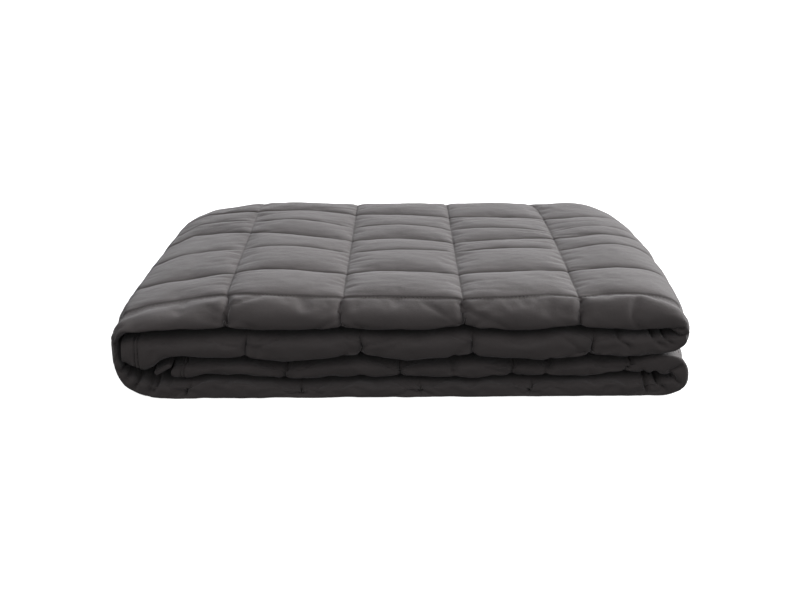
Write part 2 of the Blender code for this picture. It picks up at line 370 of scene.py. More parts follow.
def smooth_through(points, samples=24):
    """A curve through points, with its speed matched to their spacing."""
    gaps = np.linalg.norm(np.diff(points, axis=0), axis=1)
    slopes = np.diff(points, axis=0) / gaps[:, None]
    before, after = gaps[:-1, None], gaps[1:, None]
    between = (slopes[1:] * before + slopes[:-1] * after) / (before + after)
    tangents = np.concatenate([slopes[:1], between, slopes[-1:]])
    t = np.linspace(0, 1, samples, endpoint=False)[:, None]
    curve = []
    for k, gap in enumerate(gaps):
        curve.append(
            (2 * t**3 - 3 * t**2 + 1) * points[k]
            + (t**3 - 2 * t**2 + t) * gap * tangents[k]
            + (3 * t**2 - 2 * t**3) * points[k + 1]
            + (t**3 - t**2) * gap * tangents[k + 1]
        )
    return np.concatenate(curve + [points[-1:]])


class Path:
    """The outer and inner faces of the strip, and the places of its sewn columns along it."""

    def __init__(self):
        table = np.array(STRIP)
        self.outer = smooth_through(table[:, 0:2])
        self.inner = smooth_through(table[:, 2:4])
        steps = np.linalg.norm(np.diff(self.outer, axis=0), axis=1)
        self.along = np.concatenate([[0], np.cumsum(steps)])
        heading = np.unwrap(np.arctan2(*np.diff(self.outer, axis=0).T[::-1]))
        self.turned = np.concatenate([[0, 0], np.cumsum(np.abs(np.diff(heading)))])
        self.end = self.along[-1]
        self.seams = self.find_seams()

    def find_seams(self):
        """How far along the strip each sewn column lies, within reach of the last one."""
        nearest, furthest = SEAM_REACH
        last = 0
        seams = []
        for x, z in COLUMNS:
            away = np.hypot(self.outer[:, 0] - x, self.outer[:, 1] - z)
            in_reach = (self.along >= last + nearest) & (self.along < last + furthest)
            last = self.along[np.argmin(np.where(in_reach, away, np.inf))]
            seams.append(last)
        return np.array(seams)

    def stations(self):
        """Lengths where the strip gets a section: close by the seams and hems, wider between."""
        near = np.array(NEAR_SEAM)
        marks = np.concatenate([[0], self.seams, [self.end]])
        places = list(NEAR_FIRST_HEM) + [self.end - inset for inset in NEAR_LAST_HEM] + [self.end]
        for start, end in zip(marks, marks[1:]):
            inside = near[near < (end - start) / 2 - 2]
            places += list(start + inside) + [(start + end) / 2] + list(end - inside[:0:-1])
        places = np.unique(np.round(places, 3))
        turned = np.interp(places, self.along, self.turned)
        fine = [places[0]]
        for start, end, turn in zip(places, places[1:], np.diff(turned)):
            creased = any(low <= start <= high for low, high in CREASED)
            step = CREASED_STEP if creased else PLAIN_STEP
            steps = max(1, math.ceil((end - start) / step), math.ceil(turn / SHARPEST_TURN))
            fine += list(np.linspace(start, end, steps + 1)[1:])
        return np.array(fine)


# ---- the section of its four layers


def layer_faces(number):
    """The lower and upper face of layer 0 (innermost) to 3 (outermost), as shares of the band."""
    thickness = (1 - 3 * LAYER_GAP) / 4
    low = number * (thickness + LAYER_GAP)
    return low, low + thickness


def top_samples(spacing):
    """Distances from the front along a band's outer side, with a sample on each sewn row."""
    rows = [row[0] for row in ROWS] + [BACK_RIM]
    places = []
    for start, end in zip(rows, rows[1:]):
        places.append(start)
        if spacing < FINE_BELOW:
            places += [start + 0.8, start + 1.9, end - 1.9, end - 0.8]
            start, end = start + 1.9, end - 1.9
        count = max(1, round((end - start) / spacing))
        places += list(np.linspace(start, end, count + 1)[1:-1])
    return sorted(places)


def back_fold(high, low):
    """Samples round one of a band's folds at the back, between two shares of its thickness."""
    return [
        (
            BACK_RIM + (DEPTH - BACK_RIM) * math.sin(angle) ** 0.9,
            (high + low) / 2 + (high - low) / 2 * math.cos(angle),
        )
        for angle in np.linspace(0, math.pi, 9)
    ]


class Ring:
    """Samples round the section: kind, distance from the front, share of the band, and order."""

    def __init__(self, spacing):
        inmost, lower, upper, outmost = (layer_faces(number) for number in range(4))
        inwards = (335, 240, 130, 24)
        outwards = inwards[::-1]
        hidden = back_fold(1, upper[0]) + [(y, upper[0]) for y in inwards[1:]]
        hidden += [(y, upper[1]) for y in outwards] + [(341, (upper[1] + outmost[0]) / 2)]
        hidden += [(y, outmost[0]) for y in inwards] + [(14, 0.66), (14, 0.34)]
        hidden += [(y, inmost[1]) for y in outwards] + [(341, (inmost[1] + lower[0]) / 2)]
        hidden += [(y, lower[0]) for y in inwards] + [(y, lower[1]) for y in outwards[:-1]]
        hidden += back_fold(lower[1], 0) + [(y, 0) for y in (240, 130, 40)]
        rows = [("front", t, 0, 40 + 30 * t) for t in np.linspace(-1, 1, 25)[:-1]]
        rows += [("top", y, 1, 70 + y) for y in top_samples(spacing)]
        rows += [("hidden", y, share, 500 + 10 * k) for k, (y, share) in enumerate(hidden)]
        self.kind, self.value, self.share, self.order = (np.array(part) for part in zip(*rows))
        self.fold = np.flatnonzero(self.kind == "front")
        self.top = np.flatnonzero(self.kind == "top")

    def on_row(self, number):
        """The sample on one of the lines that cross the top band."""
        return self.top[np.argmin(np.abs(self.value[self.top] - ROWS[number][0]))]


# ---- the shape of the cloth


def groove(distance, half_width):
    """1 on a line, falling to 0 at half_width, as cloth rolls down to its stitching."""
    near = 1 - held(np.abs(distance) / half_width)
    return 1 - np.sqrt(1 - near**2)


def swell(values, marks):
    """0 on each mark and 1 halfway between two of them."""
    marks = np.asarray(marks)
    index = np.clip(np.searchsorted(marks, values) - 1, 0, len(marks) - 2)
    share = (values - marks[index]) / (marks[index + 1] - marks[index])
    return held(4 * share * (1 - share))


def from_line(x, z, points):
    """How far each place lies from a line, and how far along it (0 to 1) its nearest point is."""
    points = np.array(points)
    lengths = np.linalg.norm(np.diff(points, axis=0), axis=1)
    starts = np.concatenate([[0], np.cumsum(lengths)])
    best = np.full(x.shape, np.inf)
    along = np.zeros(x.shape)
    for k, length in enumerate(lengths):
        dx, dz = (points[k + 1] - points[k]) / length
        t = np.clip((x - points[k, 0]) * dx + (z - points[k, 1]) * dz, 0, length)
        gap = np.hypot(x - points[k, 0] - t * dx, z - points[k, 1] - t * dz)
        closer = gap < best
        best = np.where(closer, gap, best)
        along = np.where(closer, (starts[k] + t) / starts[-1], along)
    return best, along


def press_waves(x, z):
    """Heights with the waves that the bands press into each other."""
    risen = z.copy()
    for column, height in enumerate(BOUNDARY_HEIGHTS, start=1):
        wave = read(WAVES, x, column)
        wave = wave + 0.35 * np.sin(x / 9.7 + 2 * column) * np.sin(x / 23 + column)
        wave = wave + 0.15 * np.sin(x / 4.3 + column)
        risen += wave * np.exp(-(((z - height) / WAVE_REACH) ** 2))
    return risen + read(SETTLED, z)


def outward(points):
    """The outward normal at each point of a skin."""
    along = np.gradient(points, axis=0)
    around = np.roll(points, -1, axis=1) - np.roll(points, 1, axis=1)
    normal = np.cross(around, along)
    return normal / np.maximum(np.linalg.norm(normal, axis=2, keepdims=True), 1e-9)


def puckers(offset, y, seed, spacing, longest, depth, width):
    """Fine folds that run out from a line of stitching: offset is the distance from it."""
    rng = np.random.default_rng(seed)
    total = np.zeros(offset.shape)
    place = 20
    while place < DEPTH - 16:
        length = longest * rng.uniform(0.3, 1)
        slope = rng.uniform(-0.10, 0.10)
        deep = depth * rng.uniform(0.4, 1)
        fade = held(1 - offset / length)
        start = np.clip(offset / 3, 0.2, 1)
        total -= deep * fade * start * np.exp(-(((y - place - slope * offset) / width) ** 2))
        place += spacing * rng.uniform(0.7, 1.5)
    return total


def gathers(offset, arc, seed):
    """Short wrinkles that run out from where a column of stitching pinches a front fold."""
    rng = np.random.default_rng(seed)
    total = np.zeros(offset.shape)
    for _ in range(7):
        start = rng.uniform(-14, 24)
        slope = rng.uniform(-0.9, 0.9)
        length = rng.uniform(12, 42)
        width = rng.uniform(1.3, 2.8)
        deep = rng.uniform(0.6, 1.9)
        fade = held(1 - offset / length)
        total -= deep * fade * np.exp(-(((arc - start - slope * offset) / width) ** 2))
    return total


class Cloth:
    """The skin of the strip on a grid of stations and ring samples.

    t runs over a front fold from -1, on the band's inner side, to 1 on its outer side.
    """

    def __init__(self, path, places, ring):
        self.path = path
        self.seams = path.seams
        self.places = places
        self.ring = ring
        self.is_front = (ring.kind == "front")[None, :]
        self.is_top = (ring.kind == "top")[None, :]
        self.t = np.where(self.is_front, ring.value[None, :], 1)
        self.on_top_band = self.along(ON_TOP_BAND)
        self.has_ledge = held(self.along(LEDGES) * (self.t > 0) / FULL_LEDGE)
        self.nearest = np.argmin(np.abs(places[:, None] - self.seams[None, :]), axis=1)
        self.seam_gap = np.abs(places - self.seams[self.nearest])[:, None]
        self.pocket = np.searchsorted(self.seams, places)
        self.full = swell(places, np.concatenate([[0], self.seams, [path.end]]))[:, None]
        self.base()
        self.relief()

    def along(self, table, column=1):
        """A column of a table of places along the strip, read at each station."""
        return read(table, self.places, column)[:, None]

    def front_folds(self, thickness):
        """The front folds: distances from the front, shares of the band, the first row's pull."""
        t = self.t
        power = np.where(t > 0, self.along(FOLD_POWER), SQUARE_FOLD)
        sweep = np.where(t > 0, math.pi / 2 * (1 - SHORT_TURN * self.on_top_band), math.pi / 2)
        ledge = self.along(LEDGES) * (t > 0)
        sooner = 1 / (1 - SAMPLES_ON_LEDGE * self.has_ledge)
        around = np.minimum(np.abs(t) * sooner, 1)
        on_ledge = held((np.abs(t) * sooner - 1) / (sooner - 1 + 1e-6))
        bend = (np.sin(around * sweep) / np.sin(sweep)) ** (2 / power)
        curl = 1 - np.cos(around * sweep) ** (2 / power)
        curl = curl / (1 - np.maximum(np.cos(sweep), 0) ** (2 / power))
        reach = np.where(t > 0, self.along(NOSES, 1), self.along(NOSES, 2))
        y = self.along(NOSES, 3) + (reach - ledge) * curl + ledge * on_ledge
        lip = np.where(t > 0, self.along(LIPS, 1), self.along(LIPS, 2))
        foremost = self.along(FOREMOST)
        side = np.where(t > 0, 1 - foremost, foremost) - lip / thickness
        share = foremost + side * np.sign(t) * bend
        with_row = held(t) ** 2 * (1 - self.has_ledge) + on_ledge * self.has_ledge
        return y, share, with_row

    def base(self):
        """The strip with its folds, before any stitching pulls it in."""
        ring, top_band = self.ring, self.on_top_band
        outer = spread(self.places, self.path.along, self.path.outer)
        inner = spread(self.places, self.path.along, self.path.inner)
        thickness = np.linalg.norm(outer - inner, axis=1)[:, None]
        direction = (outer - inner) / thickness
        y_front, share_front, with_row = self.front_folds(thickness)
        self.x_outer = outer[:, 0]
        moved = [read(ROW_WANDER, self.x_outer, k + 1) for k in range(len(ROWS))]
        moved = np.pad(np.stack(moved, axis=1), ((0, 0), (1, 1))) * top_band
        lines = [0] + [row[0] for row in ROWS] + [BACK_RIM]
        shift = np.stack([np.interp(ring.value, lines, row) for row in moved])
        y = ring.value[None, :] + shift * self.is_top
        y = np.where(self.is_front, y_front + moved[:, 1:2] * with_row, y)
        share = np.where(self.is_front, share_front, ring.share[None, :])
        level = share * thickness
        x = inner[:, None, 0] + direction[:, None, 0] * level
        z = press_waves(x, inner[:, None, 1] + direction[:, None, 1] * level)
        drift = read(COLUMN_DRIFT, self.x_outer)[:, None] * (y / 340)
        x = x + drift * (share > 0.9) * top_band
        x = x + self.slack(x) * self.is_front
        swelling = np.where(x < 0, read(PLAN, y, 1), read(PLAN, y, 2))
        swelling = np.where(swelling < 0, swelling * (0.5 + 0.5 * top_band), swelling)
        x = x + np.sign(x) * swelling * (np.abs(x) / 250) ** 3
        z = z + read(BACK_LIFT, y) * read(LIFT_ACROSS, x) * top_band * (share > 0.5)
        self.share = share
        self.points = np.stack([x, y, z], axis=2)
        self.normals = outward(self.points)

    def slack(self, x):
        """How far the sewn columns wander sideways on their way down the front folds."""
        rng = np.random.default_rng(11)
        lean, bow = (
            np.interp(self.places, self.seams, rng.uniform(-most, most, len(self.seams)))[:, None]
            for most in (2.2, 2)
        )
        off_ends = held((225 - np.abs(x)) / 20)
        return (lean * self.t + bow * (1 - self.t**2)) * off_ends

    def off_floor(self, where, fade):
        """1 above the floor, and 0 on it, for the outer side of the bottom band's fold."""
        on_floor = self.along(ON_FLOOR) * (self.t > 0)
        return 1 - on_floor * (1 - held((where - self.t) / fade))

    def seam_dips(self, x, y, face):
        """How far the sewn columns pull the skin in: on the front folds, on top and at the back."""
        slit = np.where(self.is_front, held((1 - np.abs(self.t)) * 5), 0)
        slit = slit * self.off_floor(0.60, 0.40)
        near_end = np.clip((ENDS - np.abs(x)) / 25, 0.25, 1)
        uneven = np.random.default_rng(3).uniform(0.75, 1.15, len(self.seams))
        pinch = self.along(PINCH) * uneven[self.nearest][:, None] * near_end
        narrow = 0.85 * groove(self.seam_gap, self.along(SLOT)) * slit
        on_fold = pinch * (0.35 * (1 - self.full**0.8) * face + narrow)
        depth = np.where(self.is_top | (self.is_front & (self.t > 0)), TOP_SEAM_DEPTH, 0)
        depth = depth * near_end * np.where(self.is_front, self.off_floor(0.36, 0.36), 1)
        faded = (np.abs(self.places - self.seams[FADED_SEAM]) < 15)[:, None]
        depth = depth * np.where(faded, np.interp(y, (120, 330), (1, 0.4)), 1)
        dip = np.maximum(on_fold, depth * groove(self.seam_gap, 8))
        is_back = (self.ring.kind == "hidden")[None, :] & (y > BACK_RIM - 2)
        return np.where(is_back, BACK_SEAM_DEPTH * groove(self.seam_gap, 12), dip)

    def row_dips(self):
        """How far the lines that cross the top band pull it in."""
        dip = np.zeros(self.points.shape[:2])
        pockets = len(self.seams) + 1
        strengths = np.random.default_rng(8).uniform(0.7, 1.1, (pockets, len(ROWS)))
        for number, (place, depth, half_width, _) in enumerate(ROWS):
            strength = strengths[self.pocket, number][:, None]
            by_seam = 1 + (strength - 1) * self.seam_gap / 8
            strength = np.where(self.seam_gap < 8, by_seam, strength)
            if number not in SEWN_ROWS:
                strength = strength * np.clip(self.seam_gap / 12, 0.2, 1)
            away = np.where(self.is_top, self.ring.value - place, 99)
            dip = np.maximum(dip, depth * strength * groove(away, half_width))
        to_row = (1 - np.abs(self.t)) * (38 + 34 * self.has_ledge)
        on_fold = np.where(self.is_front & (self.t > 0), ROWS[0][1] * groove(to_row, 8), 0)
        return np.maximum(dip, on_fold * self.on_top_band)

    def crowns(self, x):
        """How far the pockets swell between their sewn lines."""
        y = np.where(self.is_top, self.ring.value, -99)
        rows = [0] + [row[0] for row in ROWS] + [DEPTH + 15]
        crowns = np.array([0, 0] + [row[3] for row in ROWS] + [0])
        pockets = len(self.seams) + 1
        uneven = np.random.default_rng(5).uniform(0.75, 1.15, (pockets, len(ROWS) + 3))
        number = np.clip(np.searchsorted(rows, y, side="right"), 0, len(ROWS) + 1)
        between = swell(y, rows)
        broad = read(BROAD_CROWN, y) * read(CROWN_ACROSS, x)
        crown = self.full * (0.15 * crowns[number] * between + broad * (0.5 + 0.5 * between))
        crown = crown * np.where(self.places > LOWER_TURN_FROM, 0.4, 1)[:, None]
        return crown * uneven[self.pocket[:, None], number] * self.is_top

    def wrinkles(self, y, face, in_sight):
        """Puckers on top and gathers on the front folds, on both sides of each sewn column."""
        fold = self.ring.fold
        steps = np.linalg.norm(np.diff(self.points[:, fold], axis=1), axis=2)
        round_fold = np.concatenate([np.zeros((len(y), 1)), steps.cumsum(axis=1)], axis=1)
        arc = np.full(y.shape, 99.0)
        arc[:, fold] = round_fold - round_fold[:, [len(fold) // 2]]
        for number, seam in enumerate(self.seams):
            for side in (-1, 1):
                offset = side * (self.places - seam)
                near = np.flatnonzero((offset >= 0) & (offset < HALF_POCKET))
                offset = np.broadcast_to(offset[near, None], y[near].shape)
                seed = 10 * number + side + 2
                short = puckers(offset, y[near], seed, *SHORT_PUCKERS)
                long = puckers(offset, y[near], seed + 500, *LONG_PUCKERS)
                on_fold = gathers(offset, arc[near], seed + 900) * face[near]
                yield near, (short + long) * self.is_top * in_sight[near], on_fold

    def relief(self):
        """Pulls in the stitching, swells the pockets and lays in creases and puckers."""
        x, y, z = np.moveaxis(self.points, 2, 0)
        outside = self.is_front | self.is_top
        face = np.where(self.is_front, np.cos(np.abs(self.t) * math.pi / 2) ** 0.5, 0)
        face = face * self.off_floor(0.60, 0.40)
        in_sight = self.along(POCKETS_SHOW)
        from_seams = 1 - self.seam_dips(x, y, face) / DEEPEST_DIP
        from_rows = 1 - self.row_dips() / DEEPEST_DIP
        height = -DEEPEST_DIP * (1 - from_seams * from_rows)
        height = height + self.crowns(x) * in_sight
        covered = self.is_top & (in_sight == 0)
        height = np.where(covered, -2 * groove(self.seam_gap, 11), height)
        for near, on_top, on_fold in self.wrinkles(y, face, in_sight):
            height[near] += on_top
            height[near] += on_fold
        from_edge = np.minimum(self.places, self.path.end - self.places)[:, None]
        off_hem = held((from_edge - 16) / 12)
        height *= np.where(outside, off_hem, 1)
        for points, half_width, depth in FRONT_CREASES:
            away, along = from_line(x, z, points)
            taper = held(np.minimum(along, 1 - along) * 5 + 0.25)
            height -= self.is_front * depth * taper * groove(away, half_width)
        for from_hem, insets in zip((self.places, self.path.end - self.places), HEMS):
            for inset in insets:
                height -= HEM_DEPTH * groove(from_hem[:, None] - inset, HEM_HALF_WIDTH) * outside
        self.points = self.points + self.normals * height[:, :, None]
        self.points[:, :, 1] = np.clip(self.points[:, :, 1], 0, DEPTH)
        self.points[:, :, 2] = np.maximum(self.points[:, :, 2], 0)


# ---- how it settles


def settle(points, pinned, flat, loose_in_front):
    """Lets a grid of cloth, sewn down where it is pinned, settle into its own folds.

    Points are millimetres, and what comes back is how far each one moves.
    """
    rows, samples = points.shape[:2]
    number = np.arange(rows * samples).reshape(rows, samples)
    corners = [number[:-1, :-1], number[:-1, 1:], number[1:, 1:], number[1:, :-1]]
    faces = np.stack([corner.ravel() for corner in corners], axis=1)
    data = bpy.data.meshes.new("settling")
    data.from_pydata((points.reshape(-1, 3) * SETTLE_SCALE).tolist(), [], faces.tolist())
    sheet = add_object("settling", data)
    for name, chosen in (("sewn", pinned), ("on_top", flat)):
        group = sheet.vertex_groups.new(name=name)
        group.add(np.flatnonzero(chosen.ravel()).tolist(), 1, "REPLACE")
    cloth = sheet.modifiers.new("cloth", "CLOTH")
    for name, value in SETTLING.items():
        setattr(cloth.settings, name, value)
    cloth.settings.vertex_group_mass = "sewn"
    cloth.settings.vertex_group_shrink = "on_top"
    cloth.settings.shrink_min = -loose_in_front
    cloth.settings.shrink_max = -LOOSE_ON_TOP
    cloth.settings.effector_weights.gravity = 0
    cloth.collision_settings.use_collision = False
    cloth.point_cache.frame_end = SETTLE_FRAMES
    scene = bpy.context.scene
    for frame_number in range(1, SETTLE_FRAMES + 1):
        scene.frame_set(frame_number)
    settled = sheet.evaluated_get(bpy.context.evaluated_depsgraph_get())
    found = np.empty(rows * samples * 3)
    settled.data.vertices.foreach_get("co", found)
    scene.frame_set(1)
    bpy.data.objects.remove(sheet)
    bpy.data.meshes.remove(data)
    moved = found.reshape(points.shape) / SETTLE_SCALE - points
    length = np.linalg.norm(moved, axis=2, keepdims=True)
    return moved * np.minimum(1, SETTLE_LIMIT / np.maximum(length, 1e-6))


def settle_cloth(cloth):
    """Settles the skin in sight, a stretch of the strip at a time, and moves the cloth to it."""
    places, ring = cloth.places, cloth.ring
    first, last = OUTER_SIDE_SHOWS
    stretches = ((0, first, False), (first, last, True), (last, cloth.path.end, False))
    on_seam = (cloth.seam_gap[:, 0] < 0.3) & (np.abs(cloth.x_outer) < PINNED_WITHIN)
    sewn = [ring.on_row(number) for number in SEWN_ROWS] + [ring.top[-1]]
    for low, high, with_top in stretches:
        stations = np.flatnonzero((places >= low) & (places <= high))
        shown = np.concatenate([ring.top[::2], sewn]) if with_top else ring.top[:1]
        samples = np.unique(np.concatenate([ring.fold, shown]))
        sheet = cloth.points[np.ix_(stations, samples)]
        pinned = sheet[:, :, 2] < FLOOR_HOLDS
        pinned[[0, -1]] = True
        pinned[:, [0, -1]] = True
        pinned[on_seam[stations]] = True
        if with_top:
            pinned[:, np.isin(samples, sewn)] = True
        flat = np.broadcast_to(np.isin(samples, ring.top), pinned.shape)
        loose = LOOSE_BY_TOP if with_top else LOOSE_IN_FRONT
        moved = settle(sheet, pinned, flat, loose)
        edge = np.where(ring.kind[samples] == "front", np.abs(ring.value[samples]), 0)
        edge = np.where(with_top & (ring.value[samples] > 0), 0, edge)
        moved *= (1 - 0.8 * edge**3)[None, :, None]
        whole = np.arange(samples[0], samples[-1] + 1)
        for station, shift in zip(stations, moved):
            cloth.points[station, whole] += spread(whole, samples, shift)


def roughen(points, normals, amount):
    """Adds the soft unevenness of filled cloth."""
    moved = points.copy()
    for index in np.flatnonzero(amount > 0):
        place = Vector(points[index]) * MM
        broad = noise.noise(place * 34 + Vector((3.1, 0, 0)))
        close = noise.noise(place * 95)
        moved[index] += normals[index] * (amount[index] * (0.9 * broad + 0.45 * close))
    return moved


# ---- meshes


def new_mesh(name, points, faces, uvs=None):
    """A mesh from points in millimetres, their depth measured from the front."""
    points[:, 1] -= DEPTH / 2
    data = bpy.data.meshes.new(name)
    data.from_pydata([tuple(point) for point in points * MM], [], faces)
    if uvs:
        data.uv_layers.new(name="weave").data.foreach_set("uv", np.array(uvs).ravel())
    data.validate()
    data.update()
    data.shade_smooth()
    return data


def join_rings(first, second, turn):
    """Faces between two closed rings, whose samples are matched by their order round the section.

    Each corner is the ring it is on, 0 or 1, and its sample there.
    """
    faces = []
    i = j = 0
    n, m = len(first), len(second)
    while i < n or j < m:
        i_next = first[i + 1] if i + 1 < n else (turn if i < n else math.inf)
        j_next = second[j + 1] if j + 1 < m else (turn if j < m else math.inf)
        if abs(i_next - j_next) < 1e-6:
            faces.append(((0, i), (0, i + 1), (1, j + 1), (1, j)))
            i, j = i + 1, j + 1
        elif i_next < j_next:
            faces.append(((0, i), (0, i + 1), (1, j)))
            i += 1
        else:
            faces.append(((0, i), (1, j + 1), (1, j)))
            j += 1
    return faces


def cap_triangles(y, share):
    """Corners of the triangles that close the strip at one of its edges."""
    flat = [Vector((a, b * 25)) for a, b in zip(y, share)]
    return delaunay_2d_cdt(flat, [], [list(range(len(flat)))], 1, 1e-6)[2]


def cloths_along(path, places, top, shows):
    """The cloth at each station, its ring coarser where it is covered, and the finest one."""
    kinds = {name: Cloth(path, places, Ring(spacing)) for name, spacing in RING_SPACING.items()}
    fine = kinds["top"]
    before = fine.points.copy()
    settle_cloth(fine)
    for name in ("side", "ends", "covered"):
        points, order = kinds[name].points, kinds[name].ring.order
        for station, shift in enumerate(fine.points - before):
            points[station] += spread(order, fine.ring.order, shift)
    inside_ends = np.abs(fine.x_outer) < COARSE_WITHIN
    chosen = np.select([top, shows, inside_ends], ["top", "side", "covered"], "ends")
    return [kinds[name] for name in chosen], fine


def blanket_mesh(path):
    """The skin as a mesh, and the finest cloth for the stitching to lie on."""
    places = path.stations()
    top = within(places, TOP_SHOWS)
    shows = within(places, OUTER_SIDE_SHOWS, LOWER_TURN_SHOWS)
    cloths, fine = cloths_along(path, places, top, shows)
    points, normals, lumps, rings, faces, uvs = [], [], [], [], [], []
    start = 0
    for number, cloth in enumerate(cloths):
        ring = cloth.ring
        points.append(cloth.points[number])
        normals.append(cloth.normals[number])
        on_fold = (TOP_LUMPS if top[number] else SIDE_LUMPS) * np.cos(cloth.t[0] * math.pi / 2)
        on_fold = np.where(ring.kind == "front", on_fold, 0)
        lumps.append(np.where((ring.kind == "top") & shows[number], FLAT_LUMPS, on_fold))
        rings.append((start, ring.order))
        start += len(ring.order)
    points = roughen(*(np.concatenate(part) for part in (points, normals, lumps)))
    points[:, 2] = np.maximum(points[:, 2], 0)
    turn = rings[0][1][-1] + 10
    for number, sides in enumerate(zip(rings, rings[1:])):
        for face in join_rings(sides[0][1], sides[1][1], turn):
            corners = []
            for side, index in face:
                base, order = sides[side]
                wrapped = index == len(order)
                corners.append(base + (0 if wrapped else index))
                around = turn if wrapped else order[index]
                uvs.append((places[number + side] * MM, around * MM))
            faces.append(corners)
    for number in (0, len(places) - 1):
        y, share = cloths[number].points[number][:, 1], cloths[number].share[number]
        for triangle in cap_triangles(y, share):
            triangle = triangle if number else triangle[::-1]
            faces.append([rings[number][0] + k for k in triangle])
            uvs += [(y[k] * MM, share[k] * 0.02) for k in triangle]
    return new_mesh("blanket_cloth", points, faces, uvs), fine


def dash(centre, tangent, normal):
    """One stitch: a slim spindle lying along the seam."""
    side, up = np.cross(normal, tangent) * THREAD / 2, normal * THREAD / 2
    tips = [centre + tangent * STITCH * end - normal * THREAD * 0.4 for end in (-0.5, 0.5)]
    middle = [
        centre + tangent * STITCH * along + round_it
        for along in (-0.28, 0.28)
        for round_it in (side, up, -side, -up)
    ]
    corners = tips[:1] + middle + tips[1:]
    faces = []
    for k in range(4):
        after = (k + 1) % 4
        faces.append((0, 1 + after, 1 + k))
        faces.append((1 + k, 1 + after, 5 + after, 5 + k))
        faces.append((5 + k, 5 + after, 9))
    return corners, faces


def run_of_stitches(line, normals, verts, faces):
    """Dashes at an even pitch along a line on the cloth."""
    lengths = np.linalg.norm(np.diff(line, axis=0), axis=1)
    along = np.concatenate([[0], np.cumsum(lengths)])
    for place in np.arange(STITCH_PITCH / 2, along[-1] - STITCH / 2, STITCH_PITCH):
        before, centre, after = spread(place + STITCH / 2 * np.array([-1, 0, 1]), along, line)
        tangent = after - before
        tangent /= max(np.linalg.norm(tangent), 1e-6)
        up = spread(place, along, normals)
        up -= tangent * float(up @ tangent)
        up /= max(np.linalg.norm(up), 1e-6)
        corners, sides = dash(centre + up * 0.1, tangent, up)
        faces += [[len(verts) + k for k in side] for side in sides]
        verts += corners


def stitch_mesh(path, cloth):
    places, fold = cloth.places, cloth.ring.fold
    verts, faces = [], []

    def sew(stations, samples):
        points, normals = cloth.points[stations, samples], cloth.normals[stations, samples]
        run_of_stitches(points, normals, verts, faces)

    for seam in path.seams:
        samples = np.append(fold, cloth.ring.top) if within(seam, OUTER_SIDE_SHOWS) else fold
        sew(np.argmin(np.abs(places - seam)), samples)
    for stretch in SEWN_STRETCHES:
        for number in SEWN_ROWS:
            sew(np.flatnonzero(within(places, stretch)), cloth.ring.on_row(number))
    for place in HEMS[0] + tuple(path.end - inset for inset in HEMS[1]):
        sew(np.argmin(np.abs(places - place)), fold)
    verts = np.array(verts)
    verts[:, 2] = np.maximum(verts[:, 2], 0.1)
    return new_mesh("blanket_thread", verts, faces)


# ---- materials


class Value:
    """A socket of a material, whose arithmetic adds the nodes for it."""

    def __init__(self, nodes, socket):
        self.nodes = nodes
        self.socket = socket

    def maths(self, operation, *values):
        node = self.nodes.tree.nodes.new("ShaderNodeMath")
        node.operation = operation
        for socket, value in zip(node.inputs, values):
            self.nodes.plug(socket, value)
        return Value(self.nodes, node.outputs[0])

    def __add__(self, other):
        return self.maths("ADD", self, other)

    __radd__ = __add__

    def __mul__(self, other):
        return self.maths("MULTIPLY", self, other)

    __rmul__ = __mul__

    def sine(self):
        return self.maths("SINE", self)


class Finish:
    """A material, and the one way its nodes are made."""

    def __init__(self, name):
        self.material = bpy.data.materials.new(name)
        self.material.use_nodes = True
        self.tree = self.material.node_tree
        self.shader = self.tree.nodes["Principled BSDF"]

    def plug(self, socket, value):
        if isinstance(value, Value):
            self.tree.links.new(value.socket, socket)
        else:
            socket.default_value = value

    def node(self, kind, settings=None, sockets=None, output=0):
        """A node of a kind, its settings given first, then the values or links of its sockets."""
        node = self.tree.nodes.new("ShaderNode" + kind)
        for name, value in (settings or {}).items():
            setattr(node, name, value)
        for name, value in (sockets or {}).items():
            self.plug(node.inputs[name], value)
        return Value(self, node.outputs[output])

    def grain(self, scale, detail=2, roughness=0.5):
        """Noise of so many grains to the metre."""
        place = self.node("TexCoord", output=3)
        sockets = {"Vector": place, "Scale": scale, "Detail": detail, "Roughness": roughness}
        return self.node("TexNoise", sockets=sockets)

    def between(self, share, dark, pale):
        """A charcoal between a darker one and a paler one."""
        dark, pale = (tuple(shade * c for c in CHARCOAL) + (1,) for shade in (dark, pale))
        return self.node("Mix", {"data_type": "RGBA"}, {0: share, 6: dark, 7: pale}, output=2)

    def set(self, **sockets):
        for name, value in sockets.items():
            self.plug(self.shader.inputs[name.replace("_", " ")], value)


def quilted_cotton():
    """Charcoal cotton: a plain weave, slubs, faint mottling and a soft nap."""
    cotton = Finish("charcoal_cotton")
    weave = cotton.node("UVMap", {"uv_map": "weave"})
    across, around = (
        cotton.node("SeparateXYZ", sockets={"Vector": weave}, output=axis) for axis in (0, 1)
    )
    threads = (across * WEAVE).sine() * (around * WEAVE).sine()
    broad = cotton.grain(22, 3, 0.55)
    creases = cotton.grain(75, 4, 0.55)
    slub = cotton.grain(420, 3, 0.6)
    nap = cotton.grain(1400, 2, 0.6)
    shade = 0.28 + 0.34 * broad + 0.30 * slub + 0.14 * nap + 0.05 * threads
    height = 0.5 * creases + 0.10 * slub + 0.05 * nap + 0.03 * threads
    sockets = {"Strength": 0.55, "Distance": 0.0016, "Height": height}
    cotton.set(Base_Color=cotton.between(shade, 0.72, 1.30), Roughness=0.80 + 0.12 * slub)
    cotton.set(Normal=cotton.node("Bump", sockets=sockets), Specular_IOR_Level=0.35)
    cotton.set(Sheen_Weight=0.35, Sheen_Roughness=0.45, Sheen_Tint=(0.9, 0.9, 0.92, 1))
    return cotton.material


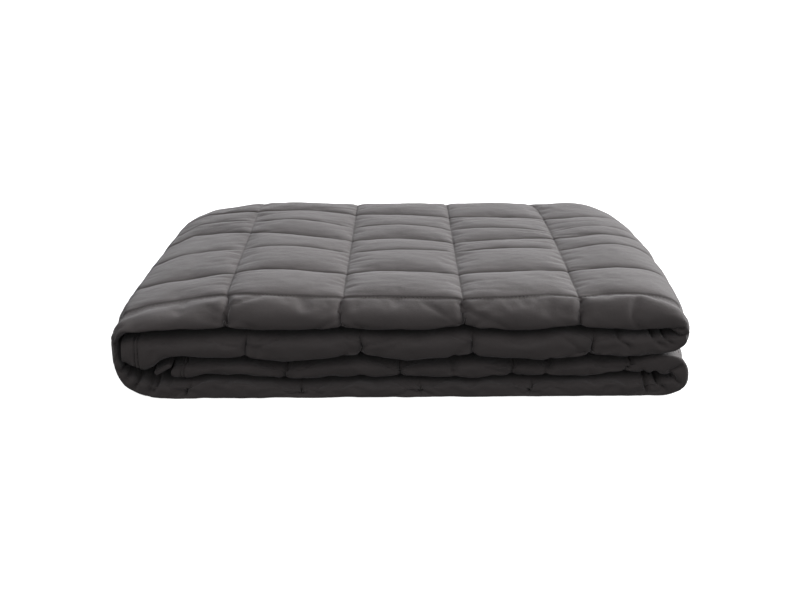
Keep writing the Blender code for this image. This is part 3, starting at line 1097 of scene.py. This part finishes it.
def thread_finish():
    """Charcoal polyester thread, a little glossier than the cloth."""
    thread = Finish("charcoal_thread")
    twist = thread.grain(2600, 1)
    sockets = {"Strength": 0.4, "Distance": 0.0002, "Height": twist}
    thread.set(Base_Color=thread.between(twist, 0.65, 1.2), Roughness=0.5 + 0.2 * twist)
    thread.set(Normal=thread.node("Bump", sockets=sockets), Sheen_Weight=0.15)
    return thread.material


def studio_floor():
    """A pale floor that glows a little, so that it fades into the background."""
    pale = Finish("studio_floor")
    pale.set(Roughness=0.9 + 0.05 * pale.grain(3))
    pale.set(Base_Color=PALE, Emission_Color=(1, 1, 1, 1), Emission_Strength=0.95)
    return pale.material


# ---- the scene


def make_blanket():
    path = Path()
    cotton = quilted_cotton()
    skin, cloth = blanket_mesh(path)
    blanket = add_object("quilted_blanket", skin)
    blanket.data.materials.append(cotton)
    thread = add_object("stitching", stitch_mesh(path, cloth))
    thread.data.materials.append(thread_finish())
    ply_end = make_ply_end()
    ply_end.data.materials.append(cotton)
    for piece in (blanket, thread, ply_end):
        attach(piece, "root")
    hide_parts("blanket")


def make_ply_end():
    """The corner of an inner ply that looks out between the two inner bands at the left."""
    bpy.ops.mesh.primitive_cube_add(size=1)
    flap = bpy.context.object
    flap.name = "ply_end"
    flap.scale = (0.0165, 0.060, 0.0044)
    flap.rotation_euler = (0, math.radians(-29), math.radians(3))
    flap.location = (-0.2085, -DEPTH / 2 * MM + 0.0345, 0.0262)
    bpy.ops.object.transform_apply()
    rounding = flap.modifiers.new("rounding", "BEVEL")
    rounding.width = 0.0017
    rounding.segments = 3
    bpy.ops.object.modifier_apply(modifier="rounding")
    bpy.ops.object.shade_smooth()
    return flap


def make_floor():
    """The surface that the blanket lies on."""
    bpy.ops.mesh.primitive_plane_add(size=30, location=(0, 0, -0.0005))
    floor = bpy.context.object
    floor.name = "floor"
    bpy.ops.object.transform_apply()
    floor.data.materials.append(studio_floor())
    floor.visible_diffuse = False
    floor.visible_glossy = False


def make_light():
    """A dim room that is lighter above than below, and one soft lamp behind and to the right."""
    world = bpy.data.worlds.new("studio")
    world.use_nodes = True
    tree = world.node_tree
    place = tree.nodes.new("ShaderNodeTexCoord")
    parts = tree.nodes.new("ShaderNodeSeparateXYZ")
    ramp = tree.nodes.new("ShaderNodeMapRange")
    tree.links.new(place.outputs["Generated"], parts.inputs["Vector"])
    tree.links.new(parts.outputs["Z"], ramp.inputs["Value"])
    for name, value in ROOM.items():
        ramp.inputs[name].default_value = value
    background = tree.nodes["Background"]
    background.inputs["Color"].default_value = (0.975, 0.985, 1, 1)
    tree.links.new(ramp.outputs["Result"], background.inputs["Strength"])
    bpy.context.scene.world = world
    lamp = bpy.data.lights.new("back_light", "SUN")
    lamp.energy = LAMP
    lamp.angle = math.radians(LAMP_SPREAD)
    height, side = math.radians(LAMP_HEIGHT), math.radians(LAMP_TO_RIGHT)
    level = math.cos(height)
    towards = Vector((level * math.sin(side), level * math.cos(side), math.sin(height)))
    light = add_object("back_light", lamp)
    light.rotation_euler = towards.to_track_quat("Z", "Y").to_euler()


def make_camera():
    """The photo's camera."""
    data = bpy.data.cameras.new("camera")
    data.lens = LENS
    data.sensor_width = 36
    data.clip_start = 0.05
    camera = add_object("camera", data)
    camera.location = CAMERA_AT
    down, turned = math.radians(90 - CAMERA_DOWN), math.radians(CAMERA_TURNED)
    camera.rotation_euler = (down, 0, turned)
    bpy.context.scene.camera = camera


make_camera()
make_blanket()
make_floor()
make_light()
bpy.context.scene.view_settings.view_transform = "Standard"
